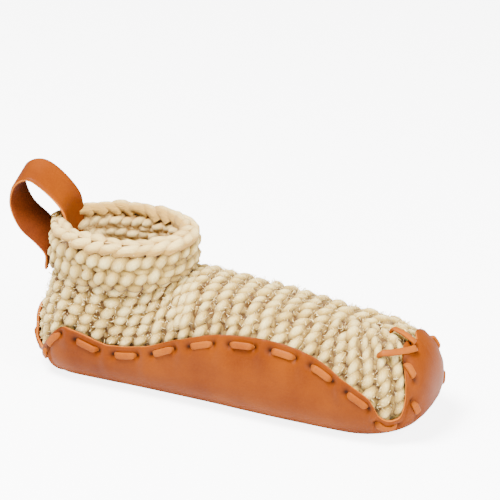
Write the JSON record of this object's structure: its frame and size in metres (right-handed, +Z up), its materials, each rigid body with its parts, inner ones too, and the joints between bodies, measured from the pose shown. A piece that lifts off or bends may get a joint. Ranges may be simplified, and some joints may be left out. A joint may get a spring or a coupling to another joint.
{
  "type": "house slipper",
  "caption": "Ankle-high house slipper knitted in thick wool, with a turned-up leather sole laced on with a flat thong and a leather pull loop at the back of the collar.",
  "frame": {"origin": "on the floor under the middle of the sole, in the plane that halves the slipper", "axes": "+X from the heel to the toe, +Y to the side away from the viewer of the picture, +Z up; the sole's underside is Z = 0"},
  "size_m": [0.2732, 0.0822, 0.1231],
  "materials": {
    "wool": "matte",
    "sole_leather": "satin",
    "thong_leather": "satin",
    "loop_leather": "satin",
    "felt": "matte"
  },
  "bodies": {
    "root": {"insole": "felt", "lace_far_1": "thong_leather", "lace_far_10": "thong_leather", "lace_far_11": "thong_leather", "lace_far_12": "thong_leather", "lace_far_13": "thong_leather", "lace_far_14": "thong_leather", "lace_far_2": "thong_leather", "lace_far_3": "thong_leather", "lace_far_4": "thong_leather", "lace_far_5": "thong_leather", "lace_far_6": "thong_leather", "lace_far_7": "thong_leather", "lace_far_8": "thong_leather", "lace_far_9": "thong_leather", "lace_near_1": "thong_leather", "lace_near_10": "thong_leather", "lace_near_11": "thong_leather", "lace_near_12": "thong_leather", "lace_near_13": "thong_leather", "lace_near_14": "thong_leather", "lace_near_2": "thong_leather", "lace_near_3": "thong_leather", "lace_near_4": "thong_leather", "lace_near_5": "thong_leather", "lace_near_6": "thong_leather", "lace_near_7": "thong_leather", "lace_near_8": "thong_leather", "lace_near_9": "thong_leather", "pull_loop": "loop_leather", "sole": "sole_leather", "toe_stitch_1": "thong_leather", "toe_stitch_2": "thong_leather", "upper": "wool"}
  },
  "joints": []
}
